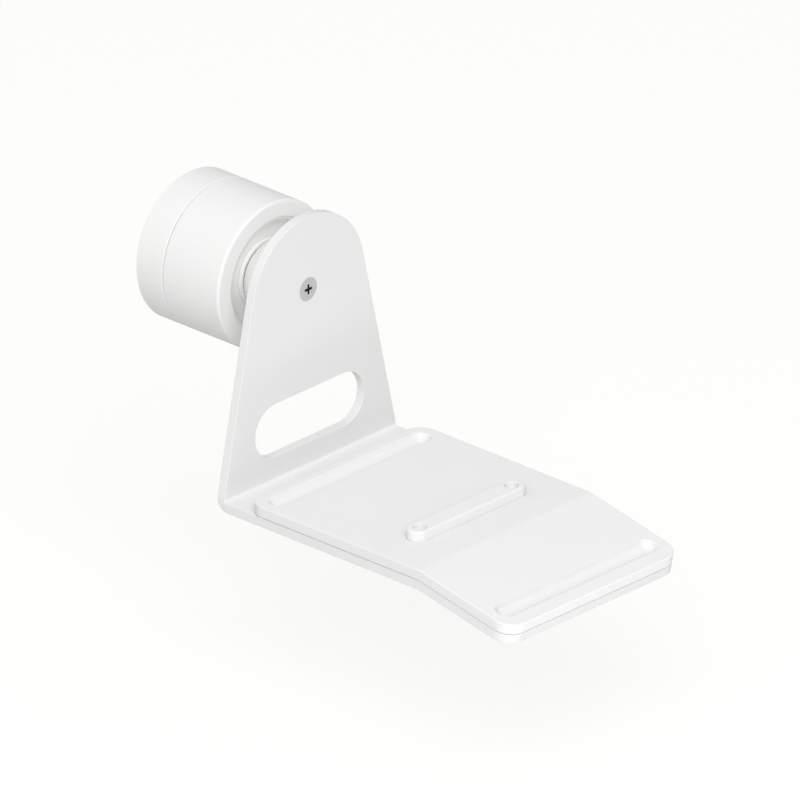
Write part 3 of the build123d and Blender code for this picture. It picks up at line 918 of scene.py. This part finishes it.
# %% The screw's blank
def screw_blank(name, head, shank, length, recess_depth):
    """A screw that points down: its head's face lies in the plane z = 0."""
    arm, half_arm_width = head * 0.41, head * 0.095
    inner, tip = head * 0.03, head * 0.05
    cross = []
    for quarter in range(4):
        turn = Matrix.Rotation(quarter * pi / 2, 2)
        for x, y, radius in (
            (arm, -half_arm_width, tip),
            (arm, half_arm_width, tip),
            (half_arm_width, half_arm_width, inner),
        ):
            cross.append((*(turn @ Vector((x, y))), radius))
    edge = 0.04 * head
    point = 0.35 * shank
    body = [
        (head - shank + point + HOLD / 2, -length),
        (head - shank + point, -length),
        (head - shank, point - length),
        (head - shank, shank - head),
        (edge, -edge),
        (0, -edge * 0.7),
        (edge * 0.15, -edge * 0.2),
        (edge * 0.6, 0),
        (edge * 0.6 + HOLD / 2, 0),
    ]
    taper = half_arm_width * 0.55
    recess = [(-0.02 * head, 0), (0, -0.02 * head), (taper * 0.5, -recess_depth * 0.7), (taper, -recess_depth)]
    return solid(
        name,
        [(round_hole(0, 0, head, 48), body)],
        top_pockets=[(outline(rounded(cross), 3), recess)],
    )


# %% The screw tree
screw_tree = bpy.data.node_groups.new("thread_and_set_out", "GeometryNodeTree")
tree_inputs(
    screw_tree,
    [
        ("Geometry", "Geometry", None),
        ("Shank", "Float", 2 * MM),
        ("Thread start", "Float", 3 * MM),
        ("Thread length", "Float", 8 * MM),
        ("Pitch", "Float", 0.7 * MM),
        ("Ridge", "Float", 0.2 * MM),
        ("Copies", "Int", 1),
        ("Circle", "Float", 0.0),
        ("First angle", "Float", 0.0),
        ("Finish", "Material", None),
        ("Recess shade", "Material", None),
    ],
)
screw_tree.interface.new_socket("Geometry", in_out="OUTPUT", socket_type="NodeSocketGeometry")
given = screw_tree.nodes.new("NodeGroupInput")
helix = screw_tree.nodes.new("GeometryNodeCurveSpiral")
helix.inputs["Resolution"].default_value = 20
turns = maths(screw_tree, "DIVIDE", given.outputs["Thread length"], given.outputs["Pitch"])
screw_tree.links.new(turns, helix.inputs["Rotations"])
helix_radius = maths(screw_tree, "SUBTRACT", given.outputs["Shank"], given.outputs["Ridge"])
for label in ("Start Radius", "End Radius"):
    screw_tree.links.new(helix_radius, helix.inputs[label])
screw_tree.links.new(given.outputs["Thread length"], helix.inputs["Height"])
ridge = screw_tree.nodes.new("GeometryNodeCurvePrimitiveCircle")
ridge.inputs["Resolution"].default_value = 5
screw_tree.links.new(given.outputs["Ridge"], ridge.inputs["Radius"])
sweep = screw_tree.nodes.new("GeometryNodeCurveToMesh")
sweep.inputs["Fill Caps"].default_value = True
screw_tree.links.new(helix.outputs["Curve"], sweep.inputs["Curve"])
screw_tree.links.new(ridge.outputs["Curve"], sweep.inputs["Profile Curve"])
lower = screw_tree.nodes.new("GeometryNodeTransform")
below = screw_tree.nodes.new("ShaderNodeCombineXYZ")
thread_bottom = maths(screw_tree, "ADD", given.outputs["Thread start"], given.outputs["Thread length"])
screw_tree.links.new(maths(screw_tree, "MULTIPLY", thread_bottom, -1.0), below.inputs["Z"])
screw_tree.links.new(sweep.outputs["Mesh"], lower.inputs["Geometry"])
screw_tree.links.new(below.outputs["Vector"], lower.inputs["Translation"])
together = screw_tree.nodes.new("GeometryNodeJoinGeometry")
screw_tree.links.new(given.outputs["Geometry"], together.inputs["Geometry"])
screw_tree.links.new(lower.outputs["Geometry"], together.inputs["Geometry"])
places = screw_tree.nodes.new("GeometryNodePoints")
screw_tree.links.new(given.outputs["Copies"], places.inputs["Count"])
index = screw_tree.nodes.new("GeometryNodeInputIndex")
share = maths(screw_tree, "DIVIDE", index.outputs[0], given.outputs["Copies"])
angle = maths(screw_tree, "ADD", maths(screw_tree, "MULTIPLY", share, 2 * pi), given.outputs["First angle"])
spot = screw_tree.nodes.new("ShaderNodeCombineXYZ")
for label, operation in (("X", "COSINE"), ("Y", "SINE")):
    part = maths(screw_tree, "MULTIPLY", maths(screw_tree, operation, angle), given.outputs["Circle"])
    screw_tree.links.new(part, spot.inputs[label])
screw_tree.links.new(spot.outputs["Vector"], places.inputs["Position"])
copies = screw_tree.nodes.new("GeometryNodeInstanceOnPoints")
screw_tree.links.new(places.outputs["Points"], copies.inputs["Points"])
screw_tree.links.new(together.outputs["Geometry"], copies.inputs["Instance"])


def paint_recess_shade(tree, geometry, given):
    """Give the faces that were marked as a pocket a near-black finish: painted shade for the depth of a recess.
    """
    mark = tree.nodes.new("GeometryNodeInputNamedAttribute")
    mark.data_type = "INT"
    mark.inputs["Name"].default_value = "pocket"
    paint = tree.nodes.new("GeometryNodeSetMaterial")
    tree.links.new(geometry, paint.inputs["Geometry"])
    tree.links.new(maths(tree, "GREATER_THAN", mark.outputs[0], 0.5), paint.inputs["Selection"])
    tree.links.new(given.outputs["Recess shade"], paint.inputs["Material"])
    return paint.outputs["Geometry"]


end_tree(screw_tree, copies.outputs["Instances"], given, paint_recess_shade)
print("screw tree:", len(screw_tree.nodes), "nodes")


# %% Set the screws in place
thread_slack = 0.02 * MM


def screw_set(
    name, node, body, place, head, shank, length, recess_depth, pitch, copies=1, circle=0.0, first=0.0
):
    """Make one node's screws: blank, thread and copies, then turn and move them to where the CAD has them."""
    ridge_height = 0.3 * pitch
    blank = screw_blank(name, head, shank - ridge_height, length, recess_depth)
    piece = as_piece(name, blank, screw_steel)
    thread_start = head - shank + 2.5 * ridge_height
    run_tree(
        piece,
        screw_tree,
        {
            "Shank": shank - thread_slack,
            "Thread start": thread_start,
            "Thread length": length - thread_start - 2.5 * ridge_height,
            "Pitch": pitch,
            "Ridge": ridge_height,
            "Copies": copies,
            "Circle": circle,
            "First angle": first,
            "Finish": screw_steel,
            "Recess shade": recess_painted_shade,
        },
    )
    piece.data.transform(place)
    even_shading(piece, 30)
    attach(piece, body)
    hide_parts(node)


face_out = Matrix.Rotation(pi / 2, 4, "X")
face_wall = Matrix.Rotation(-pi / 2, 4, "X")
face_down = Matrix.Rotation(pi, 4, "X")
retainer_low, retainer_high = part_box("retainer_screws")
bar_screw_low, bar_screw_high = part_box("bar_screws")
retainer_circle = 17.8 * MM

screw_set(
    "pivot_cross_screw",
    "pivot_screw",
    "ball",
    Matrix.Translation((0, pivot_low.y, 0)) @ face_out,
    head=pivot_head,
    shank=pivot_shank,
    length=pivot_high.y - pivot_low.y,
    recess_depth=1.4 * MM,
    pitch=0.7 * MM,
)
screw_set(
    "bar_cross_screws",
    "bar_screws",
    "bracket",
    Matrix.Translation((0, -bar_distance, bar_screw_low.z)) @ face_down,
    head=bar_screw_head,
    shank=bar_screw_shank,
    length=bar_screw_high.z - bar_screw_low.z,
    recess_depth=1.1 * MM,
    pitch=0.5 * MM,
    copies=2,
    circle=peg_pitch / 2,
)
screw_set(
    "retainer_cross_screws",
    "retainer_screws",
    "housing",
    Matrix.Translation((0, retainer_high.y, 0)) @ face_wall,
    head=2.35 * MM,
    shank=1.2 * MM,
    length=retainer_high.y - retainer_low.y,
    recess_depth=0.8 * MM,
    pitch=0.45 * MM,
    copies=3,
    circle=retainer_circle,
    first=-radians(30),
)

# %% [markdown]
# ## Threaded inserts
#
# The bar's screws need metal to bite on, so two brass inserts sit in its underside. Ribs round each insert keep
# it from turning in the plastic. They repeat round a circle, and the inserts repeat along the bar, so it's
# Geometry Nodes again: a tube, a ring of ribs, and two copies.

# %% The insert tree
insert_tree = bpy.data.node_groups.new("ribbed_inserts", "GeometryNodeTree")
tree_inputs(
    insert_tree,
    [
        ("Geometry", "Geometry", None),
        ("Rib circle", "Float", 1.9 * MM),
        ("Rib width", "Float", 0.25 * MM),
        ("Length", "Float", 3.4 * MM),
        ("Ribs", "Int", 20),
        ("Half pitch", "Float", 20 * MM),
        ("Finish", "Material", None),
    ],
)
insert_tree.interface.new_socket("Geometry", in_out="OUTPUT", socket_type="NodeSocketGeometry")
given = insert_tree.nodes.new("NodeGroupInput")
rib = insert_tree.nodes.new("GeometryNodeMeshCube")
rib_size = insert_tree.nodes.new("ShaderNodeCombineXYZ")
for label in ("X", "Y"):
    insert_tree.links.new(given.outputs["Rib width"], rib_size.inputs[label])
insert_tree.links.new(maths(insert_tree, "MULTIPLY", given.outputs["Length"], 0.8), rib_size.inputs["Z"])
insert_tree.links.new(rib_size.outputs["Vector"], rib.inputs["Size"])
rib_ring = insert_tree.nodes.new("GeometryNodeMeshCircle")
insert_tree.links.new(given.outputs["Ribs"], rib_ring.inputs["Vertices"])
insert_tree.links.new(given.outputs["Rib circle"], rib_ring.inputs["Radius"])
ribs = insert_tree.nodes.new("GeometryNodeInstanceOnPoints")
rib_index = insert_tree.nodes.new("GeometryNodeInputIndex")
rib_turn = insert_tree.nodes.new("ShaderNodeCombineXYZ")
rib_share = maths(insert_tree, "DIVIDE", rib_index.outputs[0], given.outputs["Ribs"])
insert_tree.links.new(maths(insert_tree, "MULTIPLY_ADD", rib_share, 2 * pi, pi / 4), rib_turn.inputs["Z"])
insert_tree.links.new(rib_ring.outputs["Mesh"], ribs.inputs["Points"])
insert_tree.links.new(rib.outputs["Mesh"], ribs.inputs["Instance"])
insert_tree.links.new(rib_turn.outputs["Vector"], ribs.inputs["Rotation"])
raise_ribs = insert_tree.nodes.new("GeometryNodeTransform")
rib_middle = insert_tree.nodes.new("ShaderNodeCombineXYZ")
insert_tree.links.new(maths(insert_tree, "MULTIPLY", given.outputs["Length"], 0.5), rib_middle.inputs["Z"])
insert_tree.links.new(ribs.outputs["Instances"], raise_ribs.inputs["Geometry"])
insert_tree.links.new(rib_middle.outputs["Vector"], raise_ribs.inputs["Translation"])
one_insert = insert_tree.nodes.new("GeometryNodeJoinGeometry")
insert_tree.links.new(given.outputs["Geometry"], one_insert.inputs["Geometry"])
insert_tree.links.new(raise_ribs.outputs["Geometry"], one_insert.inputs["Geometry"])
pair = insert_tree.nodes.new("GeometryNodeMeshLine")
pair.mode = "END_POINTS"
pair.inputs["Count"].default_value = 2
for label, sign in (("Start Location", -1.0), ("Offset", 1.0)):
    end_point = insert_tree.nodes.new("ShaderNodeCombineXYZ")
    end_x = maths(insert_tree, "MULTIPLY", given.outputs["Half pitch"], sign)
    insert_tree.links.new(end_x, end_point.inputs["X"])
    insert_tree.links.new(end_point.outputs["Vector"], pair.inputs[label])
both = insert_tree.nodes.new("GeometryNodeInstanceOnPoints")
insert_tree.links.new(pair.outputs["Mesh"], both.inputs["Points"])
insert_tree.links.new(one_insert.outputs["Geometry"], both.inputs["Instance"])
end_tree(insert_tree, both.outputs["Instances"], given)

# %% Inserts
rib_height = 0.2 * MM
insert_end_round, insert_bore_round = 0.1 * MM, 0.08 * MM
insert_bore = bar_screw_shank + thread_slack
insert_bm = solid(
    "insert",
    [
        (
            round_hole(0, 0, insert_radius - rib_height),
            wall(0, insert_length, insert_end_round, insert_end_round),
        ),
        (
            round_hole(0, 0, insert_bore),
            wall(0, insert_length, insert_bore_round, insert_bore_round, way=-1),
        ),
    ],
)
ribbed_inserts = as_piece("ribbed_inserts", insert_bm, brass)
run_tree(
    ribbed_inserts,
    insert_tree,
    {
        "Rib circle": insert_radius - rib_height,
        "Length": insert_length,
        "Half pitch": peg_pitch / 2,
        "Finish": brass,
    },
)
ribbed_inserts.data.transform(Matrix.Translation((0, -bar_distance, bar_low.z)))
even_shading(ribbed_inserts)
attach(ribbed_inserts, "bracket")
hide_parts("bar_inserts")
